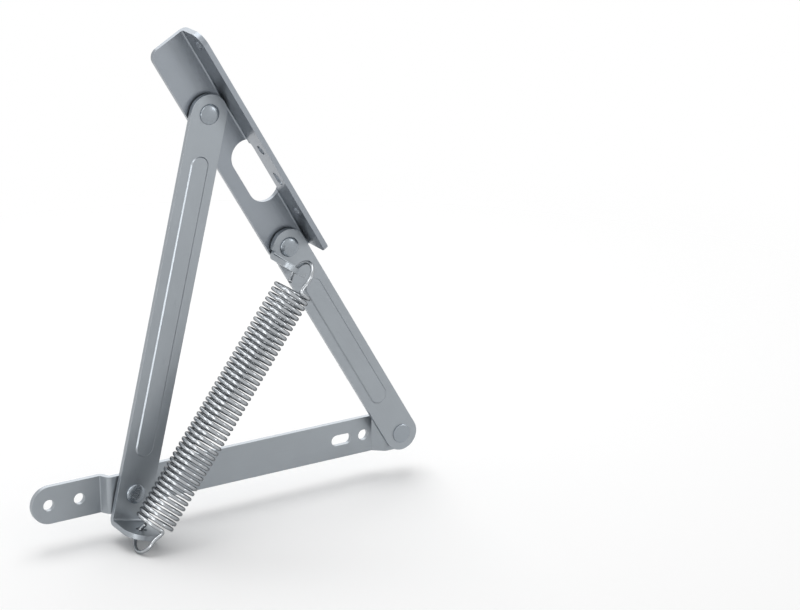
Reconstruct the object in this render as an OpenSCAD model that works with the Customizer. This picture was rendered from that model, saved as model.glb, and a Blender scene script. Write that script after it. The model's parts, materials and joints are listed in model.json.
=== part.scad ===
/* [Linkage] */
// Distance between the two pivots on the base bar
base_pivots = 235.5; // [220:0.5:250]
// Long arm, pivot to pivot
long_pivots = 295; // [285:0.5:300]
// Short arm, pivot to pivot
short_pivots = 200; // [194:0.5:210]
// Upper bracket, pivot to pivot
bracket_pivots = 130.5; // [126:0.5:136]

/* [Plates] */
// Thickness of every steel plate
plate_t = 4; // [3:0.5:5]
// Width of the base bar and of the long arm
bar_w = 30; // [27:0.5:32]
// Width of the short arm
short_w = 28; // [26:0.5:30]
// Inner radius of every bend
bend_r = 1.5; // [1:0.5:2]
// Height of the stiffening beads on the arms
bead_h = 1; // [0.6:0.1:1.4]
// Width of the stiffening beads
bead_w = 14.8; // [12:0.2:17]

/* [Base bar] */
// How far the pivot zones stand in front of the mounting zones
bar_rise = 7.2; // [6.6:0.2:8]
// Pitch of the two bolt holes at the left end
bolt_pitch = 25; // [22:1:28]
// Diameter of the bolt holes
bolt_d = 9; // [7:0.5:10]
// From the middle of the two left bolt holes to the left pivot
bolts_to_pivot = 53; // [51:0.5:56]
// From the right pivot back to the single bolt hole
right_hole_back = 28; // [27:0.5:31]
// From the right pivot back to the middle of the slot
slot_back = 48; // [46:0.5:51]
// Length of the slot from centre to centre of its round ends
slot_run = 9; // [6:0.5:11]
// Length of the steps beside the left pivot
left_step = 4; // [3.5:0.5:6]
// Length of the step beside the right pivot
right_step = 9; // [6:0.5:10]

/* [Pivots] */
// Diameter of the rivet shanks
shank_d = 10; // [8:0.5:11]
// Diameter of the rivet heads
head_d = 15.5; // [14.5:0.5:17]
// Radial play of a shank in the plate that turns on it
pivot_play = 0.05; // [0.02:0.01:0.1]
// Thickness of the spacer washers
washer_t = 1.5; // [1:0.1:1.8]
// Diameter of the spacer washers
washer_d = 25; // [24:0.5:26]

/* [Spring anchors] */
// From the lower left pivot to the upper face of the foot
foot_drop = 21.7; // [20:0.1:24]
// How far the foot stands out from the long arm's front face
foot_reach = 34; // [32:0.5:36]
// Diameter of the hole in the foot
foot_hole_d = 8.6; // [8.2:0.2:9.4]
// How far the lug's middle plane lies from the pivot at the short arm's top
lug_out = 13.3; // [12.6:0.1:13.6]
// Direction of the lifted spring, which the lug stands square to
lug_angle = 53.15; // [52:0.05:54]
// Width of the lug above its centre line
lug_up = 9; // [8:0.5:9]
// Width of the lug below its centre line
lug_down = 13.5; // [12:0.5:13.5]
// How far the lug stands out from the short arm's front face
lug_reach = 27; // [26:0.5:29]
// Diameter of the hole in the lug
lug_hole_d = 5.4; // [5.2:0.2:7]

/* [Upper bracket] */
// From the pivot line to the left edge of the plate
plate_left = 14.3; // [13:0.1:15]
// From the pivot line to the inner face of the flange
flange_in = 16.6; // [16.4:0.1:18]
// Depth of the flange from the back of the plate
flange_depth = 30; // [26:0.5:32]
// How far the bracket runs past its upper pivot
bracket_top = 64.4; // [60:0.2:70]
// How far the bracket runs past the pivot at its lower end
bracket_tail = 11.5; // [8:0.5:14]
// Length of the window in the plate
window_len = 54.4; // [48:0.2:58]
// Radius of the window's ends
window_r = 13.5; // [12:0.5:13.5]
// Distance of the window's middle from the upper pivot
window_at = 63.9; // [62:0.5:66]
// Diameter of the fastening holes in the flange
flange_hole_d = 8; // [6:0.5:9]

/* [Spring] */
// Number of turns in the coil
turns = 47; // [40:1:48]
// Outer diameter of the coil
coil_d = 30.2; // [28:0.2:31]
// Diameter of the wire
wire_d = 3; // [2.8:0.1:3.2]
// Middle radius of the end hooks
hook_r = 11.8; // [11.4:0.1:12.2]
// From the spring's lower hook centre to the first turn
lower_leg = 11.2; // [9:0.2:13]
// From the last turn to the spring's upper hook centre
upper_leg = 11.2; // [10:0.2:14]
// How far the spring's axis stands out from the arms' front faces
spring_out = 30.3; // [30:0.1:31]

/* [Hidden] */
$fn = 64;

// Cuts run this far past the face that they open
over = 1;
// Depths along Y of the stack of plates; the mounting face is at 0
raised_back = -bar_rise;
raised_front = raised_back - plate_t;
arm_back = raised_front - washer_t;
arm_front = arm_back - plate_t;

// The lifted pose: bracket and short arm lie in one line, the dead centre
lift_angle = acos((pow(long_pivots, 2) + pow(base_pivots, 2)
    - pow(bracket_pivots + short_pivots, 2)) / (2 * long_pivots * base_pivots));
pivot_a = [bolts_to_pivot, 0];
pivot_d = pivot_a + [base_pivots, 0];
pivot_b = pivot_a + long_pivots * [cos(lift_angle), sin(lift_angle)];
bracket_angle = atan2(pivot_d[1] - pivot_b[1], pivot_d[0] - pivot_b[0]);
pivot_c = pivot_b + bracket_pivots * [cos(bracket_angle), sin(bracket_angle)];
short_angle = bracket_angle + 180;

// Rivets: low domes in front, flat set heads behind
shank_r = shank_d / 2;
head_rim = 0.6;
set_head_r = shank_r + 2.2;
set_head_h = 2.6;

// Bar ends and step places
bar_left_end = -(bolt_pitch / 2 + bar_w / 2 - 1);
bar_right_end = pivot_d[0] + bar_w / 2;
raised_half = 18;
right_step_end = 10.5;
bar_bend_r = 3;

// Foot on the long arm
foot_out = foot_drop + plate_t;
foot_end = arm_front - foot_reach;
foot_round = foot_end + bar_w / 2;
foot_hole_y = foot_round - 0.3;

// Lug on the short arm
lug_in = lug_out - plate_t / 2;
lug_w = lug_up + lug_down;
lug_mid = (lug_down - lug_up) / 2;
lug_end = arm_front - lug_reach;
lug_round = lug_end + lug_w / 2;

// Beads: where the middles of their round ends lie, from the arm's first pivot
long_bead = [1.23 * bar_w, long_pivots - 1.31 * bar_w];
short_bead = [1.54 * short_w, short_pivots - 1.46 * short_w];

// Upper bracket
flange_out = flange_in + plate_t;
flange_tip = raised_back - flange_depth;
bracket_end = bracket_pivots + bracket_tail;
window_mid_z = 9.9;
window_dip = 6.8;
window_flange_half = 22;
flange_hole_y = raised_back - 0.66 * flange_depth;
flange_holes = [-54.8, 44.5, 104];
flange_slot_at = 72.5;
flange_slot_run = 4;

// Spring: hook centres in the frames of the arms that they hang on
spring_y = arm_front - spring_out;
lower_hook = pivot_a + turned([-foot_drop - 0.575 * plate_t, 0.35 * plate_t], lift_angle);
upper_hook = pivot_c + turned([lug_out + 0.475 * plate_t, 0.725 * plate_t], lug_angle + 180);
span = norm(upper_hook - lower_hook);
spring_angle = atan2(upper_hook[1] - lower_hook[1], upper_hook[0] - lower_hook[0]);
coil_r = (coil_d - wire_d) / 2;
coil_pitch = (span - lower_leg - upper_leg) / turns;
rings_per_turn = 8;
wire_sides = 6;
hook_sweep = 220;
hook_steps = 15;
leg_steps = 5;
lug_hole_z = 2;
lug_hole_y = spring_y + hook_r - 0.4;

// A point of a plate's own frame turned into the X Z plane
function turned(p, angle) =
    [p[0] * cos(angle) - p[1] * sin(angle), p[0] * sin(angle) + p[1] * cos(angle)];

// Places children at a pivot, with their X along the given angle in the X Z plane
module at_pivot(pivot, angle) {
    translate([pivot[0], 0, pivot[1]]) rotate([0, -angle, 0]) children();
}

// A flat plate: a drawing in X and Z, from the depth "back" forwards by t
module flat(back, t) {
    translate([0, back, 0]) rotate([90, 0, 0]) linear_extrude(t) children();
}

// A round hole along Y through everything between two depths
module hole_y(x, z, d, front, back) {
    translate([x, back + over, z]) rotate([90, 0, 0]) cylinder(h = back - front + 2 * over, d = d);
}

// A quarter of a bend about Z, between the directions +X and +Y
module bend(width) {
    rotate_extrude(angle = 90) translate([bend_r, 0]) square([plate_t, width]);
}

// What a rounded corner takes off; sx and sy point out of the corner
module corner_off(x, y, sx, sy, r) {
    translate([x, y]) difference() {
        translate([sx > 0 ? -r : -over, sy > 0 ? -r : -over]) square(r + over);
        translate([-sx * r, -sy * r]) circle(r);
    }
}

// A slot with round ends, along X
module slot_2d(run, r) {
    translate([-run / 2, -r]) square([run, 2 * r]);
    for (s = [-1, 1]) translate([s * run / 2, 0]) circle(r);
}

// A pressed bead between x0 and x1, standing out towards -Y from the depth y. Its sloped sides
// run on behind y, into the plate or out of it.
module bead(x0, x1, y) {
    foot_r = bead_w / 2 + over;
    top_r = bead_w / 2 - bead_h;
    translate([x0, y, 0]) rotate([90, 0, 90]) linear_extrude(x1 - x0)
        polygon([[over, foot_r], [-bead_h, top_r], [-bead_h, -top_r], [over, -foot_r]]);
    for (x = [x0, x1]) translate([x, y + over, 0]) rotate([90, 0, 0])
        cylinder(h = over + bead_h, r1 = foot_r, r2 = top_r);
}

// Offsets of a bent strip: points of one side of a centre line with round bends
function unit(v) = v / norm(v);
function side_point(c, angle, r) = c + r * [cos(angle), sin(angle)];
function strip_bend(p0, p1, p2, r, h) =
    let (d0 = unit(p1 - p0), d1 = unit(p2 - p1),
        turn = sign(d0[0] * d1[1] - d0[1] * d1[0]),
        half = acos(min(1, d0 * d1)) / 2,
        c = p1 - d0 * r * tan(half) + turn * r * [-d0[1], d0[0]],
        start = atan2(d0[1], d0[0]) - turn * 90)
    [for (k = [0:6]) side_point(c, start + turn * 2 * half * k / 6, r - turn * h)];
function strip_side(pts, r, h) =
    let (n = len(pts),
        d0 = unit(pts[1] - pts[0]), d1 = unit(pts[n - 1] - pts[n - 2]))
    concat([pts[0] + h * [-d0[1], d0[0]]],
        [for (i = [1:n - 2]) each strip_bend(pts[i - 1], pts[i], pts[i + 1], r, h)],
        [pts[n - 1] + h * [-d1[1], d1[0]]]);
module strip(pts, r, t) {
    left = strip_side(pts, r, t / 2);
    right = strip_side(pts, r, -t / 2);
    polygon(concat(left, [for (i = [len(right) - 1:-1:0]) right[i]]));
}

// The stepped bar that bolts to the bed frame
module base_bar() color("lightslategray") {
    low = -plate_t / 2;
    high = low - bar_rise;
    a = pivot_a[0];
    d = pivot_d[0];
    path = [[bar_left_end - over, low], [a - raised_half - left_step, low],
        [a - raised_half, high], [a + raised_half, high],
        [a + raised_half + left_step, low], [d - right_step_end - right_step, low],
        [d - right_step_end, high], [bar_right_end + over, high]];
    ends = [bar_left_end + bar_w / 2, bar_right_end - bar_w / 2];
    difference() {
        intersection() {
            translate([0, 0, -bar_w]) linear_extrude(2 * bar_w) strip(path, bar_bend_r, plate_t);
            flat(over, plate_t + bar_rise + 2 * over) {
                translate([ends[0], -bar_w / 2]) square([ends[1] - ends[0], bar_w]);
                for (x = ends) translate([x, 0]) circle(bar_w / 2);
            }
        }
        for (x = [-bolt_pitch / 2, bolt_pitch / 2, d - right_hole_back])
            hole_y(x, 0, bolt_d, -plate_t, 0);
        translate([d - slot_back, 0, 0]) flat(over, plate_t + 2 * over)
            slot_2d(slot_run, bolt_d / 2);
        for (x = [a, d]) hole_y(x, 0, shank_d, raised_front, raised_back);
    }
}

// The long arm, with its bead and the foot that holds the spring's lower hook
module long_arm() color("slategray") at_pivot(pivot_a, lift_angle) {
    bend_x = -foot_drop + bend_r;
    bend_y = arm_front - bend_r;
    difference() {
        union() {
            flat(arm_back, plate_t) {
                translate([bend_x, -bar_w / 2]) square([long_pivots - bend_x, bar_w]);
                translate([long_pivots, 0]) circle(bar_w / 2);
            }
            translate([bend_x, bend_y, -bar_w / 2]) rotate(90) bend(bar_w);
            translate([-foot_out, 0, 0]) rotate([90, 0, 90]) linear_extrude(plate_t) {
                translate([foot_round, -bar_w / 2]) square([bend_y - foot_round, bar_w]);
                translate([foot_round, 0]) circle(bar_w / 2);
            }
            bead(long_bead[0], long_bead[1], arm_front);
        }
        bead(long_bead[0], long_bead[1], arm_back);
        hole_y(0, 0, shank_d + 2 * pivot_play, arm_front, arm_back);
        hole_y(long_pivots, 0, shank_d, arm_front, arm_back);
        translate([-foot_out - over, foot_hole_y, 0]) rotate([0, 90, 0])
            cylinder(h = plate_t + 2 * over, d = foot_hole_d);
    }
}

// The short arm, with its bead and the lug that holds the spring's upper hook
module short_arm() color("slategray") {
    blade_turn = short_angle - lug_angle - 180;
    bend_x = lug_in - bend_r;
    bend_y = arm_front - bend_r;
    difference() {
        union() {
            at_pivot(pivot_c, lug_angle + 180) {
                flat(arm_back, plate_t) {
                    difference() {
                        rotate(blade_turn) translate([-short_pivots / 2, 0])
                            slot_2d(short_pivots, short_w / 2);
                        // The round head ends at the bend, down to the blade's straight edge
                        translate([bend_x - over, -short_w / 2])
                            square([short_w, short_w / 2 * (1 + cos(blade_turn))]);
                    }
                    translate([0, -lug_up]) square([bend_x, lug_w]);
                }
                translate([bend_x, bend_y, -lug_up]) bend(lug_w);
                translate([lug_in, 0, 0]) rotate([90, 0, 90]) linear_extrude(plate_t) {
                    translate([lug_round, -lug_up]) square([bend_y - lug_round, lug_w]);
                    translate([lug_round, lug_mid]) circle(lug_w / 2);
                }
            }
            at_pivot(pivot_d, short_angle) bead(short_bead[0], short_bead[1], arm_front);
        }
        at_pivot(pivot_d, short_angle) bead(short_bead[0], short_bead[1], arm_back);
        for (p = [pivot_c, pivot_d])
            hole_y(p[0], p[1], shank_d + 2 * pivot_play, arm_front, arm_back);
        at_pivot(pivot_c, lug_angle + 180) translate([lug_in - over, lug_hole_y, lug_hole_z])
            rotate([0, 90, 0]) cylinder(h = plate_t + 2 * over, d = lug_hole_d);
    }
}

// The angle bracket that carries the bed board, with a window through its bend
module upper_bracket() color("lightsteelblue") at_pivot(pivot_b, bracket_angle) {
    long_side = bracket_top + bracket_end;
    bend_z = flange_in - bend_r;
    bend_y = raised_front - bend_r;
    difference() {
        union() {
            flat(raised_back, plate_t) difference() {
                translate([-bracket_top, -plate_left]) square([long_side, plate_left + bend_z]);
                corner_off(-bracket_top, -plate_left, -1, -1, 7.5);
                corner_off(bracket_end, -plate_left, 1, -1, plate_left - 0.5);
            }
            translate([-bracket_top, bend_y, bend_z]) rotate([90, 0, 90]) bend(long_side);
            translate([0, 0, flange_in]) linear_extrude(plate_t) difference() {
                translate([-bracket_top, flange_tip]) square([long_side, bend_y - flange_tip]);
                corner_off(-bracket_top, flange_tip, -1, -1, 10);
                corner_off(bracket_end, flange_tip, 1, -1, 5);
            }
        }
        translate([window_at, 0, window_mid_z]) flat(raised_back + over, plate_t + 1.5 * over)
            slot_2d(window_len - 2 * window_r, window_r);
        translate([window_at, raised_back, flange_in - plate_t]) linear_extrude(2 * plate_t + over)
            window_notch();
        for (x = [0, bracket_pivots]) hole_y(x, 0, shank_d, raised_front, raised_back);
        for (x = flange_holes) translate([x, flange_hole_y, flange_in - over])
            cylinder(h = plate_t + 2 * over, d = flange_hole_d);
        translate([flange_slot_at, flange_hole_y, flange_in - over])
            linear_extrude(plate_t + 2 * over) slot_2d(flange_slot_run, flange_hole_d / 2);
    }
}

// The part of the window that lies in the flange, with round inner corners
module window_notch() {
    r = 3;
    w = window_flange_half;
    difference() {
        translate([-w, -window_dip]) square([2 * w, window_dip + over]);
        corner_off(-w, -window_dip, -1, -1, r);
        corner_off(w, -window_dip, 1, -1, r);
    }
}

// A low dome of height h over a short straight rim, growing towards -Y
module domed_head(h, front) {
    dome = h - head_rim;
    r = head_d / 2;
    ball = (r * r + dome * dome) / (2 * dome);
    translate([0, front, 0]) rotate([90, 0, 0]) {
        cylinder(h = head_rim, r = r);
        translate([0, 0, head_rim]) intersection() {
            translate([0, 0, dome - ball]) sphere(ball, $fn = 96);
            cylinder(h = dome, r = r);
        }
    }
}

// The flat head that closes a rivet behind its plate, with a chamfered rim
module set_head(back) {
    translate([0, back, 0]) rotate([-90, 0, 0]) {
        cylinder(h = set_head_h - 1, r = set_head_r);
        translate([0, 0, set_head_h - 1]) cylinder(h = 1, r1 = set_head_r, r2 = set_head_r - 1);
    }
}

// A shank between two depths
module shank(front, back) {
    translate([0, back, 0]) rotate([90, 0, 0]) cylinder(h = back - front, r = shank_r);
}

module rivet(pivot, dome) color("silver") at_pivot(pivot, 0) {
    domed_head(dome, arm_front);
    shank(arm_front, raised_back);
    set_head(raised_back);
}

module base_left_rivet() rivet(pivot_a, 2.6);
module base_right_rivet() rivet(pivot_d, 1.2);
module bracket_lower_rivet() rivet(pivot_c, 2);

// The upper pivot's rivet in two lengths that meet at the bracket's front face
module bracket_upper_rivet() color("silver") at_pivot(pivot_b, 0) {
    domed_head(2, arm_front);
    shank(arm_front, raised_front);
}
module bracket_upper_rivet_tail() color("silver") at_pivot(pivot_b, 0) {
    shank(raised_front, raised_back);
    set_head(raised_back);
}

// A spacer washer between two plates
module washer(pivot) color("gainsboro") at_pivot(pivot, 0)
    flat(raised_front, washer_t) difference() {
        circle(d = washer_d);
        circle(r = shank_r + pivot_play);
    }

module base_left_washer() washer(pivot_a);
module base_right_washer() washer(pivot_d);
module bracket_lower_washer() washer(pivot_c);
module bracket_upper_washer() washer(pivot_b);

// The spring's wire in its own frame: along the axis, towards the viewer, across.
// Each entry is [point, direction that the section's first corner looks in].
function hook_entry(angle, centre, way) =
    [[centre + way * hook_r * sin(angle), hook_r * cos(angle), 0],
        [way * sin(angle), cos(angle), 0]];
function coil_entry(angle) =
    [[lower_leg + coil_pitch * angle / 360, coil_r * cos(angle), coil_r * sin(angle)],
        [0, cos(angle), sin(angle)]];
// A leg joins a hook's front to the coil's front: a cubic with both end directions
leg_pull = 13;
function cubic(p0, m0, p1, m1, s) =
    (2 * s * s * s - 3 * s * s + 1) * p0 + (s * s * s - 2 * s * s + s) * m0
    + (3 * s * s - 2 * s * s * s) * p1 + (s * s * s - s * s) * m1;
coil_way = unit([coil_pitch / 6.2832, 0, coil_r]);
lower_entries = concat(
    [for (k = [hook_steps:-1:0]) hook_entry(hook_sweep * k / hook_steps, 0, -1)],
    [for (k = [1:leg_steps - 1]) [cubic([0, hook_r, 0], [leg_pull, 0, 0],
        coil_entry(0)[0], leg_pull * coil_way, k / leg_steps), [0, 1, 0]]],
    [for (k = [0:turns * rings_per_turn]) coil_entry(360 * k / rings_per_turn)]);
upper_entries = concat(
    [for (k = [0:leg_steps - 1]) [cubic(coil_entry(360 * turns)[0], leg_pull * coil_way,
        [span, hook_r, 0], [leg_pull, 0, 0], k / leg_steps), [0, 1, 0]]],
    [for (k = [0:hook_steps]) hook_entry(hook_sweep * k / hook_steps, span, 1)]);

// From the spring's own frame into the part's frame
axis_dir = [cos(spring_angle), 0, sin(spring_angle)];
side_dir = [-sin(spring_angle), 0, cos(spring_angle)];
function to_part(p) = [lower_hook[0], spring_y, lower_hook[1]]
    + p[0] * axis_dir + p[1] * [0, -1, 0] + p[2] * side_dir;

// The whole wire's entries; the two tubes share the ring at the last turn's end
wire = concat(lower_entries, [for (k = [1:len(upper_entries) - 1]) upper_entries[k]]);
last_turn_end = len(lower_entries) - 1;

// A ring of corners round entry i of the wire
function wire_ring(i) =
    let (along = wire[min(i + 1, len(wire) - 1)][0] - wire[max(i - 1, 0)][0], t = unit(along),
        look = wire[i][1], e1 = unit(look - (look * t) * t), e2 = cross(t, e1))
    [for (k = [0:wire_sides - 1]) let (a = 360 * k / wire_sides)
        to_part(wire[i][0] + wire_d / 2 * (cos(a) * e1 + sin(a) * e2))];

// One tube along the wire's entries from first to last
module tube(first, last) {
    m = wire_sides;
    n = last - first + 1;
    points = [for (i = [first:last]) each wire_ring(i)];
    walls = [for (i = [0:n - 2]) for (k = [0:m - 1])
        let (a = i * m + k, b = i * m + (k + 1) % m)
        each [[a, a + m, b], [b, a + m, b + m]]];
    caps = [for (k = [1:m - 2]) each [[0, k, k + 1],
        [(n - 1) * m, (n - 1) * m + k + 1, (n - 1) * m + k]]];
    polyhedron(points, concat(walls, caps));
}

// Least gap of the wire to itself, between points half a turn to two turns apart
function least_gap() = min([for (i = [0:len(wire) - 1])
    for (j = [i + 4:1:min(i + 16, len(wire) - 1)]) norm(wire[i][0] - wire[j][0])]) - wire_d;

module lift_spring() color("silver") {
    echo(least_gap_mm = least_gap());
    tube(0, last_turn_end);
}
module spring_top_hook() color("silver") tube(last_turn_end, len(wire) - 1);

base_bar();
long_arm();
short_arm();
upper_bracket();
base_left_rivet();
base_right_rivet();
bracket_lower_rivet();
bracket_upper_rivet();
bracket_upper_rivet_tail();
base_left_washer();
base_right_washer();
bracket_lower_washer();
bracket_upper_washer();
lift_spring();
spring_top_hook();
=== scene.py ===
import json
import math

import bmesh
import bpy
import numpy as np
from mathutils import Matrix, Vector


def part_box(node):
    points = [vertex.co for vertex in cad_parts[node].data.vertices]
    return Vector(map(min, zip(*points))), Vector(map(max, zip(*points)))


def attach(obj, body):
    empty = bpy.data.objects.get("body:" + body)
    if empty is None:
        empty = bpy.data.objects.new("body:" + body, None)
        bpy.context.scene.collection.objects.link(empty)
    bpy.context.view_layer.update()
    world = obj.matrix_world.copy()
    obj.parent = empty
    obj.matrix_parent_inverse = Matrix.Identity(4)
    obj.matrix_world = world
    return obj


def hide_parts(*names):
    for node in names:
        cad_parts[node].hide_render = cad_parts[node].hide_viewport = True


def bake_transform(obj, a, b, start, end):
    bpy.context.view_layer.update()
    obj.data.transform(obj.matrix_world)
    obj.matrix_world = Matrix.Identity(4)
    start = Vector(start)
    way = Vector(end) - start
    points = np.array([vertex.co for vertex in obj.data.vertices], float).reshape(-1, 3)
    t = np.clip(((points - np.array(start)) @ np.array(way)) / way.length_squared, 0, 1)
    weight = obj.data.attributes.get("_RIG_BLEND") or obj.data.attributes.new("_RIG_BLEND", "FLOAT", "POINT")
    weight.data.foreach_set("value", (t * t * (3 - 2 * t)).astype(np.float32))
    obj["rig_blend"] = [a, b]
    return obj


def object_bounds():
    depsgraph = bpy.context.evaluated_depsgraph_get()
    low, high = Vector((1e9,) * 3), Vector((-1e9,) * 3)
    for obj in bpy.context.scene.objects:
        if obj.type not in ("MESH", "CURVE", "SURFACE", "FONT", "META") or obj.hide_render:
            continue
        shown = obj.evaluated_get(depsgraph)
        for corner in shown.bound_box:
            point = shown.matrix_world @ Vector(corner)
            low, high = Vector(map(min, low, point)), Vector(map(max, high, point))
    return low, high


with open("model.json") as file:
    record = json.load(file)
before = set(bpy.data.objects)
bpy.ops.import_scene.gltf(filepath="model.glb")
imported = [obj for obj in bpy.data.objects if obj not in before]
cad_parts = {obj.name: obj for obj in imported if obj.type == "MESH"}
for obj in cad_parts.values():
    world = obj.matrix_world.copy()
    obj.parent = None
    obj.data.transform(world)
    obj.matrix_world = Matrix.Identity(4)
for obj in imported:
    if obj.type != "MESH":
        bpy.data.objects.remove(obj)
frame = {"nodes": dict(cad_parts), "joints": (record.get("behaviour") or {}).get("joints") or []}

cad_low, cad_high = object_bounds()
joints = {joint["name"]: joint for joint in frame["joints"]}
scene = bpy.context.scene

# The camera.
# A long lens from the front left and above, as the mechanism was photographed. It looks at a
# point between the two base pivots, one third of the way up the arms.

CAMERA_AZIMUTH = math.radians(-31.30)
CAMERA_ELEVATION = math.radians(19.105)
CAMERA_DISTANCE = 2.0797
CAMERA_LENS = 118.0
LOOK_AT = Vector((0.29498, -0.004, 0.10367))

camera = bpy.data.objects.new("camera", bpy.data.cameras.new("camera"))
scene.collection.objects.link(camera)
scene.camera = camera
scene.view_settings.view_transform = "Standard"
camera.data.sensor_width = 36.0
camera.data.lens = CAMERA_LENS
camera.data.clip_start, camera.data.clip_end = 0.05, 50.0
camera_back = Vector((
    math.sin(CAMERA_AZIMUTH) * math.cos(CAMERA_ELEVATION),
    -math.cos(CAMERA_AZIMUTH) * math.cos(CAMERA_ELEVATION),
    math.sin(CAMERA_ELEVATION)))
camera.location = LOOK_AT + camera_back * CAMERA_DISTANCE
camera.rotation_mode = "QUATERNION"
camera.rotation_quaternion = (-camera_back).to_track_quat("-Z", "Y")

# Zinc-plated flat steel, as all four plates are made of.
# The sheet is cold rolled, punched, bent and plated bright: a bluish grey film with a faint
# rolling grain, soft cloudy patches and a few hairline scratches from handling.


def new_group(name, inputs, outputs):
    """An empty node group with the named float or vector inputs and the named outputs."""
    group = bpy.data.node_groups.new(name, "ShaderNodeTree")
    for label, kind, value in inputs:
        socket = group.interface.new_socket(label, in_out="INPUT", socket_type=kind)
        if value is not None:
            socket.default_value = value
    for label, kind in outputs:
        group.interface.new_socket(label, in_out="OUTPUT", socket_type=kind)
    return group, group.nodes.new("NodeGroupInput"), group.nodes.new("NodeGroupOutput")


def add_math(tree, operation, first, second, third=None):
    """A math node whose inputs are sockets or numbers, and its result."""
    node = tree.nodes.new("ShaderNodeMath")
    node.operation = operation
    for index, value in enumerate((first, second, third)):
        if value is None:
            continue
        if isinstance(value, (int, float)):
            node.inputs[index].default_value = value
        else:
            tree.links.new(value, node.inputs[index])
    return node.outputs[0]


def add_noise(tree, vector, stretch, scale, detail):
    """Noise from 0 to 1 on a vector stretched along its three axes, and its result."""
    mapping = tree.nodes.new("ShaderNodeMapping")
    mapping.inputs["Scale"].default_value = stretch
    tree.links.new(vector, mapping.inputs["Vector"])
    noise = tree.nodes.new("ShaderNodeTexNoise")
    noise.inputs["Scale"].default_value = scale
    noise.inputs["Detail"].default_value = detail
    tree.links.new(mapping.outputs["Vector"], noise.inputs["Vector"])
    return noise.outputs["Fac"]


CLOUD_SCALE = 38
GRAIN_STRETCH = (30, 900, 900)
HAIR_STRETCH = (5, 260, 190)
HAIR_LEVEL = 0.62
HAIR_WIDTH = 0.0035


def zinc_film_group():
    """Tone, roughness and height of a plated surface.

    Tone is one plus cloudy noise about zero times Cloud Amount, minus the scratches. Roughness
    is Base Roughness plus the same clouds and the grain. Height is the grain less the scratches.
    The grain is noise stretched along X of the given vector, and a scratch is where very long
    thin noise comes near one level.
    """
    group, given, result = new_group(
        "zinc_film",
        [("Vector", "NodeSocketVector", None), ("Cloud Amount", "NodeSocketFloat", 0.05),
         ("Grain Amount", "NodeSocketFloat", 0.03), ("Scratch Amount", "NodeSocketFloat", 0.1),
         ("Base Roughness", "NodeSocketFloat", 0.3)],
        [("Tone", "NodeSocketFloat"), ("Roughness", "NodeSocketFloat"),
         ("Height", "NodeSocketFloat")])
    vector = given.outputs["Vector"]
    clouds = add_math(group, "SUBTRACT", add_noise(group, vector, (1, 1, 1), CLOUD_SCALE, 3), 0.5)
    grain = add_math(group, "SUBTRACT", add_noise(group, vector, GRAIN_STRETCH, 1, 4), 0.5)
    hair = add_noise(group, vector, HAIR_STRETCH, 1, 0)
    near_level = add_math(group, "ABSOLUTE", add_math(group, "SUBTRACT", hair, HAIR_LEVEL), 0)
    scratch = add_math(group, "LESS_THAN", near_level, HAIR_WIDTH)
    scratch = add_math(group, "MULTIPLY", scratch, given.outputs["Scratch Amount"])
    cloud = add_math(group, "MULTIPLY", clouds, given.outputs["Cloud Amount"])
    rolled = add_math(group, "MULTIPLY", grain, given.outputs["Grain Amount"])
    tone = add_math(group, "ADD", add_math(group, "MULTIPLY", cloud, 2), 1)
    tone = add_math(group, "ADD", tone, rolled)
    tone = add_math(group, "SUBTRACT", tone, scratch)
    group.links.new(tone, result.inputs["Tone"])
    rough = add_math(group, "ADD", given.outputs["Base Roughness"], cloud)
    rough = add_math(group, "ADD", rough, rolled)
    rough = add_math(group, "ADD", rough, scratch)
    group.links.new(rough, result.inputs["Roughness"])
    height = add_math(group, "SUBTRACT", rolled, scratch)
    group.links.new(height, result.inputs["Height"])
    return group


ZINC_FILM = zinc_film_group()
METAL_SHARE = 0.88


def zinc_material(name, colour, roughness, clouds, grain, scratches, turn=0.0, uv=False,
                  bump=0.00001, rim=1.0):
    """A metal whose colour, roughness and relief are varied by the zinc film group.

    The grain runs along the direction that the given turn about Y makes with X, or along the
    piece's own U where uv is set. Rim is how much of a grazing reflection the film keeps. The
    film scatters a little light of its own, so the metal's share is less than one.
    """
    material = bpy.data.materials.new(name)
    material.use_nodes = True
    tree = material.node_tree
    shader = tree.nodes["Principled BSDF"]
    shader.inputs["Metallic"].default_value = METAL_SHARE
    shader.inputs["Specular Tint"].default_value = (rim, rim, rim, 1)
    coordinates = tree.nodes.new("ShaderNodeTexCoord")
    mapping = tree.nodes.new("ShaderNodeMapping")
    mapping.inputs["Rotation"].default_value = (0.0, turn, 0.0)
    tree.links.new(coordinates.outputs["UV" if uv else "Object"], mapping.inputs["Vector"])
    film = tree.nodes.new("ShaderNodeGroup")
    film.node_tree = ZINC_FILM
    film.inputs["Cloud Amount"].default_value = clouds
    film.inputs["Grain Amount"].default_value = grain
    film.inputs["Scratch Amount"].default_value = scratches
    film.inputs["Base Roughness"].default_value = roughness
    tree.links.new(mapping.outputs["Vector"], film.inputs["Vector"])
    tint = tree.nodes.new("ShaderNodeVectorMath")
    tint.operation = "SCALE"
    tint.inputs[0].default_value = colour
    tree.links.new(film.outputs["Tone"], tint.inputs["Scale"])
    tree.links.new(tint.outputs["Vector"], shader.inputs["Base Color"])
    tree.links.new(film.outputs["Roughness"], shader.inputs["Roughness"])
    relief = tree.nodes.new("ShaderNodeBump")
    relief.inputs["Distance"].default_value = bump
    relief.inputs["Strength"].default_value = 1.0
    tree.links.new(film.outputs["Height"], relief.inputs["Height"])
    tree.links.new(relief.outputs["Normal"], shader.inputs["Normal"])
    return material


EDGE_ROUND = 0.0006
EDGE_ANGLE = math.radians(25)
SAME_POINT = 1e-6
SAME_PLANE = math.radians(0.4)
FLAT_WEIGHT = 90


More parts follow.
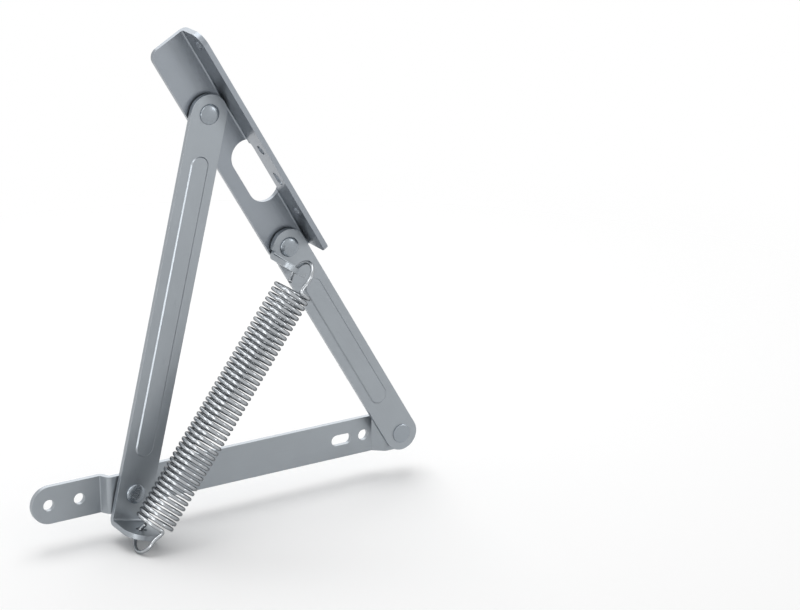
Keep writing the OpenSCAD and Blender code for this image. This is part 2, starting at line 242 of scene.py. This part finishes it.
def rounded_plate(node, material, body):
    """The node's own solid as one closed mesh, with its punched and bent edges rounded.

    The solid's loose triangles are merged, flat neighbours are joined into whole faces, and a
    bevel rounds each edge where two faces meet at more than the edge angle. The normals follow
    the larger faces, so that these stay flat.
    """
    mesh = frame["nodes"][node].data.copy()
    shape = bmesh.new()
    shape.from_mesh(mesh)
    bmesh.ops.remove_doubles(shape, verts=shape.verts, dist=SAME_POINT)
    bmesh.ops.dissolve_limit(
        shape, angle_limit=SAME_PLANE, verts=shape.verts, edges=shape.edges)
    for face in shape.faces:
        face.smooth = True
    shape.to_mesh(mesh)
    shape.free()
    mesh.materials.clear()
    mesh.materials.append(material)
    piece = bpy.data.objects.new(node + "_plate", mesh)
    scene.collection.objects.link(piece)
    bevel = piece.modifiers.new("edges", "BEVEL")
    bevel.width = EDGE_ROUND
    bevel.segments = 3
    bevel.limit_method = "ANGLE"
    bevel.angle_limit = EDGE_ANGLE
    normals = piece.modifiers.new("flat_faces", "WEIGHTED_NORMAL")
    normals.weight = FLAT_WEIGHT
    normals.keep_sharp = True
    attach(piece, body)
    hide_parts(node)
    return piece


# The base bar.
# One length of 30 by 4 mm flat steel with full round ends. Both pivot zones are stepped out so
# that the rivets' set heads clear the bed frame, and it is punched for its bolts.

PLATE_GREY = (0.325, 0.352, 0.378)
PLATE_ROUGHNESS = 0.36
PLATE_CLOUDS, PLATE_GRAIN, PLATE_SCRATCHES = 0.05, 0.04, 0.04

base_steel = zinc_material(
    "base_bar_zinc", PLATE_GREY, PLATE_ROUGHNESS, PLATE_CLOUDS, PLATE_GRAIN, PLATE_SCRATCHES)
base_bar = rounded_plate("base_bar", base_steel, "base")

# The long arm.
# Flat steel with a pressed stiffening bead. Its lower end is bent forward into a round foot,
# drilled for the hook of the spring.

LIFT_ANGLE = math.atan2(
    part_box("bracket_upper_rivet")[0].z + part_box("bracket_upper_rivet")[1].z,
    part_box("bracket_upper_rivet")[0].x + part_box("bracket_upper_rivet")[1].x
    - 2 * joints["long_arm_fold"]["pos_m"][0])
long_steel = zinc_material(
    "long_arm_zinc", PLATE_GREY, PLATE_ROUGHNESS, PLATE_CLOUDS, PLATE_GRAIN, PLATE_SCRATCHES,
    turn=LIFT_ANGLE)
long_arm = rounded_plate("long_arm", long_steel, "long_arm")

# The short arm.
# The same steel in a narrower strip, with its own bead. A lug at its upper end is bent forward,
# square to the spring, for the spring's upper hook.

elbow = Vector(joints["bracket_turn"]["pos_m"])
heel = Vector(joints["short_arm_fold"]["pos_m"])
SHORT_ANGLE = math.atan2(elbow.z - heel.z, elbow.x - heel.x)
short_steel = zinc_material(
    "short_arm_zinc", PLATE_GREY, PLATE_ROUGHNESS, PLATE_CLOUDS, PLATE_GRAIN, PLATE_SCRATCHES,
    turn=SHORT_ANGLE)
short_arm = rounded_plate("short_arm", short_steel, "short_arm")

# The upper bracket.
# An angle bent from one blank, so that its window runs through the bend into the flange. The
# flange is punched with round holes and a slot for the bed board.

BRACKET_GREY = (0.28, 0.305, 0.335)
BRACKET_ROUGHNESS = 0.32
BRACKET_GRAIN = 0.03

bracket_steel = zinc_material(
    "upper_bracket_zinc", BRACKET_GREY, BRACKET_ROUGHNESS, PLATE_CLOUDS, BRACKET_GRAIN,
    PLATE_SCRATCHES, turn=SHORT_ANGLE)
upper_bracket = rounded_plate("upper_bracket", bracket_steel, "upper_bracket")

# The spacer washers.
# Thin punched steel rings between the plates at the pivots, a little darker and rougher than the
# plates. Each sits deep in its joint, where the dark line is shade in the gap.

WASHER_GREY = (0.28, 0.3, 0.325)
WASHER_EDGE_ROUND = 0.0002

washer_steel = zinc_material(
    "washer_zinc", WASHER_GREY, roughness=0.4, clouds=0.08, grain=0.05, scratches=0.0)
WASHER_BODIES = {
    "base_left_washer": "base", "base_right_washer": "base",
    "bracket_lower_washer": "upper_bracket", "bracket_upper_washer": "long_arm"}
for node, body in WASHER_BODIES.items():
    washer = rounded_plate(node, washer_steel, body)
    washer.name = node + "_ring"
    washer.modifiers["edges"].width = WASHER_EDGE_ROUND

# The rivets.
# Headed pins of soft steel, plated with the rest. The factory head in front is a low dome over
# a thin rim, and the back is set flat with a chamfer, swelling the shank tight in its plate.

PLATE = 0.004
SHANK_R = 0.005
HEAD_RIM = 0.0006
HEAD_POWER = 2.5
HEAD_STEPS = 22
SET_HEAD_OVER = 0.0022
SET_CHAMFER = 0.001
SET_HOLLOW_R, SET_HOLLOW = 0.3, 0.0002
CRISP_ANGLE = math.radians(50)
ARM_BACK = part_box("base_left_washer")[0].y
ARM_FRONT = ARM_BACK - PLATE
RAISED_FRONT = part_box("base_left_washer")[1].y
RAISED_BACK = RAISED_FRONT + PLATE


def grid_faces(rows, columns):
    """Four-sided faces between neighbouring rows of a grid whose columns close on themselves."""
    row, column = np.meshgrid(np.arange(rows - 1), np.arange(columns), indexing="ij")
    after = (column + 1) % columns
    corners = [row * columns + column, row * columns + after,
               (row + 1) * columns + after, (row + 1) * columns + column]
    return np.stack(corners, -1).reshape(-1, 4)


def turned_mesh(name, radii, depths, x, z, steps=96):
    """A profile turned about a line along Y: each ring is x + r cos t, z + r sin t at depth y.

    The profile starts and ends on the line, where single points close it.
    """
    t = np.linspace(0, 2 * np.pi, steps, endpoint=False)
    r, y = np.array(radii[1:-1])[:, None], np.array(depths[1:-1])[:, None]
    rings = np.stack([x + r * np.cos(t), y + 0 * t, z + r * np.sin(t)], -1).reshape(-1, 3)
    ends = [[x, depths[0], z], [x, depths[-1], z]]
    points = np.vstack([rings, ends])
    first, last = len(rings), len(rings) + 1
    k = np.arange(steps)
    after = (k + 1) % steps
    base = len(rings) - steps
    faces = grid_faces(len(r), steps).tolist()
    faces += np.stack([np.full(steps, first), after, k], -1).tolist()
    faces += np.stack([np.full(steps, last), base + k, base + after], -1).tolist()
    mesh = bpy.data.meshes.new(name)
    mesh.from_pydata(points.tolist(), [], faces)
    mesh.update()
    mesh.polygons.foreach_set("use_smooth", np.ones(len(mesh.polygons), bool))
    return mesh


def rivet_profile(head_r, front, plate_front, plate_back, set_head):
    """Radii and depths of a rivet from the top of its head to its back.

    The head over its rim is a quarter of a superellipse, (r / R)^p + (h / H)^p = 1, so that it
    has an almost flat top and a full round shoulder. The set head behind has a straight chamfer.
    """
    height = plate_front - HEAD_RIM - front
    a = np.linspace(0, np.pi / 2, HEAD_STEPS)
    radii = list(head_r * np.sin(a) ** (2 / HEAD_POWER))
    depths = list(front + height * (1 - np.cos(a) ** (2 / HEAD_POWER)))
    radii += [head_r, SHANK_R, SHANK_R]
    depths += [plate_front, plate_front, plate_back]
    if set_head:
        back_r, back_y = set_head
        radii += [back_r, back_r, back_r - SET_CHAMFER, SET_HOLLOW_R * back_r]
        depths += [plate_back, back_y - SET_CHAMFER, back_y, back_y - SET_HOLLOW]
    return radii + [0.0], depths + [depths[-1]]


RIVET_GREY = (0.3, 0.33, 0.36)
rivet_steel = zinc_material(
    "rivet_zinc", RIVET_GREY, roughness=0.22, clouds=0.03, grain=0.0, scratches=0.02)


def rivet(node, body, plate_back, set_head=True):
    """A rivet piece in the node's place, from the box of its solid."""
    low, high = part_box(node)
    head_r = (high.x - low.x) / 2
    behind = (SHANK_R + SET_HEAD_OVER, high.y) if set_head else None
    radii, depths = rivet_profile(head_r, low.y, ARM_FRONT, plate_back, behind)
    mesh = turned_mesh(node, radii, depths, (low.x + high.x) / 2, (low.z + high.z) / 2)
    mesh.materials.append(rivet_steel)
    piece = bpy.data.objects.new(node + "_head", mesh)
    scene.collection.objects.link(piece)
    split = piece.modifiers.new("crisp", "EDGE_SPLIT")
    split.split_angle = CRISP_ANGLE
    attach(piece, body)
    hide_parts(node)
    return piece


rivet("base_left_rivet", "base", RAISED_BACK)
rivet("base_right_rivet", "base", RAISED_BACK)
rivet("bracket_lower_rivet", "upper_bracket", RAISED_BACK)
rivet("bracket_upper_rivet", "long_arm", RAISED_FRONT, set_head=False)

# The tail of the bracket's upper rivet.
# The same rivet's length inside the bracket, with its set head. It is a piece of its own
# because the linkage comes apart at this pivot.

tail_low, tail_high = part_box("bracket_upper_rivet_tail")
tail_r = SHANK_R + SET_HEAD_OVER
tail_mesh = turned_mesh(
    "bracket_upper_rivet_tail",
    [0.0, SHANK_R, SHANK_R, tail_r, tail_r, tail_r - SET_CHAMFER, SET_HOLLOW_R * tail_r,
     0.0],
    [tail_low.y, tail_low.y, RAISED_BACK, RAISED_BACK, tail_high.y - SET_CHAMFER, tail_high.y,
     tail_high.y - SET_HOLLOW, tail_high.y - SET_HOLLOW],
    (tail_low.x + tail_high.x) / 2, (tail_low.z + tail_high.z) / 2)
tail_mesh.materials.append(rivet_steel)
tail = bpy.data.objects.new("bracket_upper_rivet_set_head", tail_mesh)
scene.collection.objects.link(tail)
tail.modifiers.new("crisp", "EDGE_SPLIT").split_angle = CRISP_ANGLE
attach(tail, "upper_bracket")
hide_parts("bracket_upper_rivet_tail")

# The lift spring.
# An extension spring wound from one drawn wire, with a hook turned out at each end: the lower
# one goes through the long arm's foot, the upper one through the short arm's lug.

TURNS = 47
WIRE_R = 0.0015
COIL_R = 0.0137
HOOK_R = 0.0118
HOOK_SWEEP = math.radians(220)
LOWER_LEG = 0.0112
UPPER_LEG = 0.0112
LEG_PULL = 0.013
LUG_ANGLE = math.radians(53.15)
HOOK_IN_LUG = (0.0152, 0.0029)
RINGS_PER_TURN = 40
WIRE_SIDES = 14
CUT_LENGTH, CUT_R = 0.35, 0.75
UV_ROUND = 0.006

lower_hook = Vector(joints["spring_swing"]["pos_m"])
away = Vector((-math.cos(LUG_ANGLE), 0, -math.sin(LUG_ANGLE)))
beside = Vector((math.sin(LUG_ANGLE), 0, -math.cos(LUG_ANGLE)))
upper_hook = elbow + HOOK_IN_LUG[0] * away + HOOK_IN_LUG[1] * beside
upper_hook.y = lower_hook.y
axis = (upper_hook - lower_hook).normalized()
span = (upper_hook - lower_hook).length
spring_frame = np.array([axis, Vector((0, -1, 0)), Vector((-axis.z, 0, axis.x))])
pitch = (span - LOWER_LEG - UPPER_LEG) / TURNS


def hook_path(centre, way, steps):
    """Hook points from its free end to its front: a circle in the plane of axis and viewer."""
    a = np.linspace(HOOK_SWEEP, 0, steps)
    zero = np.zeros(steps)
    look = np.stack([way * np.sin(a), np.cos(a), zero], -1)
    return look * HOOK_R + np.array([centre, 0, 0]), look


def coil_path():
    """The helix: along the axis by one pitch a turn, its radius turning left-handed."""
    a = np.linspace(0, 2 * np.pi * TURNS, TURNS * RINGS_PER_TURN + 1)
    look = np.stack([0 * a, np.cos(a), np.sin(a)], -1)
    along = LOWER_LEG + pitch * a / (2 * np.pi)
    return look * COIL_R + np.stack([along, 0 * a, 0 * a], -1), look


def leg_path(start, start_way, end, end_way, steps):
    """The Hermite cubic between two points with given directions, without its end points."""
    s = np.linspace(0, 1, steps + 2)[1:-1, None]
    points = ((2 * s ** 3 - 3 * s ** 2 + 1) * start + (s ** 3 - 2 * s ** 2 + s) * start_way
              + (3 * s ** 2 - 2 * s ** 3) * end + (s ** 3 - s ** 2) * end_way)
    return points, np.tile([0.0, 1.0, 0.0], (steps, 1))


def tube_mesh(name, path, look, radius, sides):
    """A round tube: at each path point a ring of corners in the plane square to the path.

    The ring's first corner looks in the given direction, made square to the path. A smaller
    ring at each end chamfers the cut. UV runs along the wire in metres and once round it.
    """
    along = np.gradient(path, axis=0)
    along /= np.linalg.norm(along, axis=1, keepdims=True)
    first = look - np.sum(look * along, 1, keepdims=True) * along
    first /= np.linalg.norm(first, axis=1, keepdims=True)
    second = np.cross(along, first)
    t = np.linspace(0, 2 * np.pi, sides, endpoint=False)[None, :, None]
    size = np.full(len(path), radius)
    size[[0, -1]] = CUT_R * radius
    rings = path[:, None] + size[:, None, None] * (
        np.cos(t) * first[:, None] + np.sin(t) * second[:, None])
    points = rings.reshape(-1, 3) @ spring_frame + np.array(lower_hook)
    faces = grid_faces(len(path), sides).tolist()
    faces += [list(range(sides))[::-1], list(range(len(points) - sides, len(points)))]
    mesh = bpy.data.meshes.new(name)
    mesh.from_pydata(points.tolist(), [], faces)
    mesh.update()
    mesh.polygons.foreach_set("use_smooth", np.ones(len(mesh.polygons), bool))
    length = np.concatenate([[0], np.cumsum(np.linalg.norm(np.diff(path, axis=0), axis=1))])
    corners = np.zeros(len(mesh.loops), int)
    mesh.loops.foreach_get("vertex_index", corners)
    uv = np.stack([length[corners // sides], UV_ROUND * (corners % sides) / sides], -1)
    mesh.uv_layers.new(name="wire").data.foreach_set("uv", uv.astype(np.float32).ravel())
    return mesh


LEG_STEPS = 14
HOOK_STEPS = 56
coil, coil_look = coil_path()
lower_ring, lower_look = hook_path(0.0, -1, HOOK_STEPS)
upper_ring, upper_look = hook_path(span, 1, HOOK_STEPS)
coil_way = np.array([pitch / (2 * np.pi), 0, COIL_R])
coil_way *= LEG_PULL / np.linalg.norm(coil_way)
hook_way = np.array([LEG_PULL, 0, 0])
lower_leg, lower_leg_look = leg_path(lower_ring[-1], hook_way, coil[0], coil_way, LEG_STEPS)
upper_leg, upper_leg_look = leg_path(coil[-1], coil_way, upper_ring[-1], hook_way, LEG_STEPS)
start_cut = lower_ring[:1] + (lower_ring[:1] - lower_ring[1:2]) * CUT_LENGTH
end_cut = upper_ring[:1] + (upper_ring[:1] - upper_ring[1:2]) * CUT_LENGTH
wire_path = np.vstack([start_cut, lower_ring, lower_leg, coil, upper_leg, upper_ring[::-1],
                       end_cut])
wire_look = np.vstack([lower_look[:1], lower_look, lower_leg_look, coil_look, upper_leg_look,
                       upper_look[::-1], upper_look[:1]])
spring_mesh = tube_mesh("lift_spring", wire_path, wire_look, WIRE_R, WIRE_SIDES)
WIRE_GREY = (0.42, 0.44, 0.46)
spring_steel = zinc_material(
    "spring_wire_zinc", WIRE_GREY, roughness=0.2, clouds=0.03, grain=0.0, scratches=0.0,
    uv=True, bump=0.000002, rim=0.25)
spring_mesh.materials.append(spring_steel)
spring = bpy.data.objects.new("lift_spring_wire", spring_mesh)
scene.collection.objects.link(spring)
coil_start = lower_hook + axis * LOWER_LEG
coil_end = lower_hook + axis * (span - UPPER_LEG)
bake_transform(spring, "spring_lower", "spring_upper", start=tuple(coil_start), end=tuple(coil_end))
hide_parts("lift_spring", "spring_top_hook")
# A spring gives the same in every turn, so the share that follows the upper hook grows evenly
points = np.zeros(len(spring_mesh.vertices) * 3)
spring_mesh.vertices.foreach_get("co", points)
height = (points.reshape(-1, 3) - np.array(coil_start)) @ np.array(axis)
share = np.clip(height / (span - LOWER_LEG - UPPER_LEG), 0, 1)
spring_mesh.attributes["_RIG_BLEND"].data.foreach_set("value", share.astype(np.float32))

# The studio.
# A pale floor just under the spring's lower hook that fades into a white surround, one large
# soft light above and a little behind, and five softboxes that only the metal's gloss shows.

FLOOR_Z = cad_low.z - 0.0002
FLOOR_HALF = 1.4
FLOOR_CENTRE = (0.16, 0.0)
FADE_START, FADE_END = 0.42, 1.0
FLOOR_WHITE = 0.93
AMBIENT = 0.62
floor_mesh = bpy.data.meshes.new("floor")
floor_mesh.from_pydata(
    [(FLOOR_CENTRE[0] + sx * FLOOR_HALF, FLOOR_CENTRE[1] + sy * FLOOR_HALF, FLOOR_Z)
     for sx, sy in ((-1, -1), (1, -1), (1, 1), (-1, 1))], [], [(0, 1, 2, 3)])
floor = bpy.data.objects.new("floor", floor_mesh)
scene.collection.objects.link(floor)


def floor_fade_group():
    """An alpha of one near the middle of the floor that falls to nothing, as a smooth step."""
    group, given, result = new_group(
        "floor_fade",
        [("Vector", "NodeSocketVector", None), ("Start", "NodeSocketFloat", FADE_START),
         ("End", "NodeSocketFloat", FADE_END)], [("Alpha", "NodeSocketFloat")])
    distance = group.nodes.new("ShaderNodeVectorMath")
    distance.operation = "DISTANCE"
    distance.inputs[1].default_value = (*FLOOR_CENTRE, FLOOR_Z)
    group.links.new(given.outputs["Vector"], distance.inputs[0])
    fade = group.nodes.new("ShaderNodeMapRange")
    fade.interpolation_type = "SMOOTHSTEP"
    fade.inputs["To Min"].default_value = 1.0
    fade.inputs["To Max"].default_value = 0.0
    group.links.new(distance.outputs["Value"], fade.inputs["Value"])
    group.links.new(given.outputs["Start"], fade.inputs["From Min"])
    group.links.new(given.outputs["End"], fade.inputs["From Max"])
    group.links.new(fade.outputs["Result"], result.inputs["Alpha"])
    return group


floor_paint = bpy.data.materials.new("floor_paint")
floor_paint.use_nodes = True
tree = floor_paint.node_tree
floor_shader = tree.nodes["Principled BSDF"]
floor_shader.inputs["Base Color"].default_value = (FLOOR_WHITE, FLOOR_WHITE, FLOOR_WHITE, 1)
floor_shader.inputs["Roughness"].default_value = 1.0
floor_shader.inputs["Specular IOR Level"].default_value = 0.0
floor_place = tree.nodes.new("ShaderNodeTexCoord")
floor_fade = tree.nodes.new("ShaderNodeGroup")
floor_fade.node_tree = floor_fade_group()
tree.links.new(floor_place.outputs["Object"], floor_fade.inputs["Vector"])
tree.links.new(floor_fade.outputs["Alpha"], floor_shader.inputs["Alpha"])
floor_mesh.materials.append(floor_paint)

world = bpy.data.worlds.new("studio")
scene.world = world
world.use_nodes = True
tree = world.node_tree
background = tree.nodes["Background"]
path = tree.nodes.new("ShaderNodeLightPath")
seen = add_math(tree, "MAXIMUM", path.outputs["Is Camera Ray"], path.outputs["Is Glossy Ray"])
seen = add_math(tree, "MAXIMUM", seen, path.outputs["Is Transmission Ray"])
strength = add_math(tree, "MULTIPLY_ADD", seen, 1 - AMBIENT, AMBIENT)
tree.links.new(strength, background.inputs["Strength"])
background.inputs["Color"].default_value = (1, 1, 1, 1)


def soft_light(name, place, size, power, on_floor=True):
    """A square area lamp at place that faces the middle of the mechanism."""
    lamp = bpy.data.lights.new(name, "AREA")
    lamp.shape = "SQUARE"
    lamp.size = size
    lamp.energy = power
    light = bpy.data.objects.new(name, lamp)
    scene.collection.objects.link(light)
    light.location = place
    light.rotation_mode = "QUATERNION"
    aim = Vector((0.2, 0.0, 0.1)) - Vector(place)
    light.rotation_quaternion = aim.to_track_quat("-Z", "Y")
    light.visible_diffuse = on_floor


soft_light("overhead", (0.3, 0.42, 1.75), 1.6, 20)
soft_light("low_left", (-1.38, -1.06, 0.16), 0.5, 5.5, on_floor=False)
soft_light("high_left", (-0.7, -1.05, 1.33), 0.6, 5, on_floor=False)
soft_light("far_left", (-1.46, -0.1, 1.3), 0.6, 5, on_floor=False)
soft_light("front_right", (1.35, -1.55, 0.26), 0.45, 3.5, on_floor=False)
soft_light("behind_right", (0.8, 2.0, 1.2), 2.0, 13, on_floor=False)
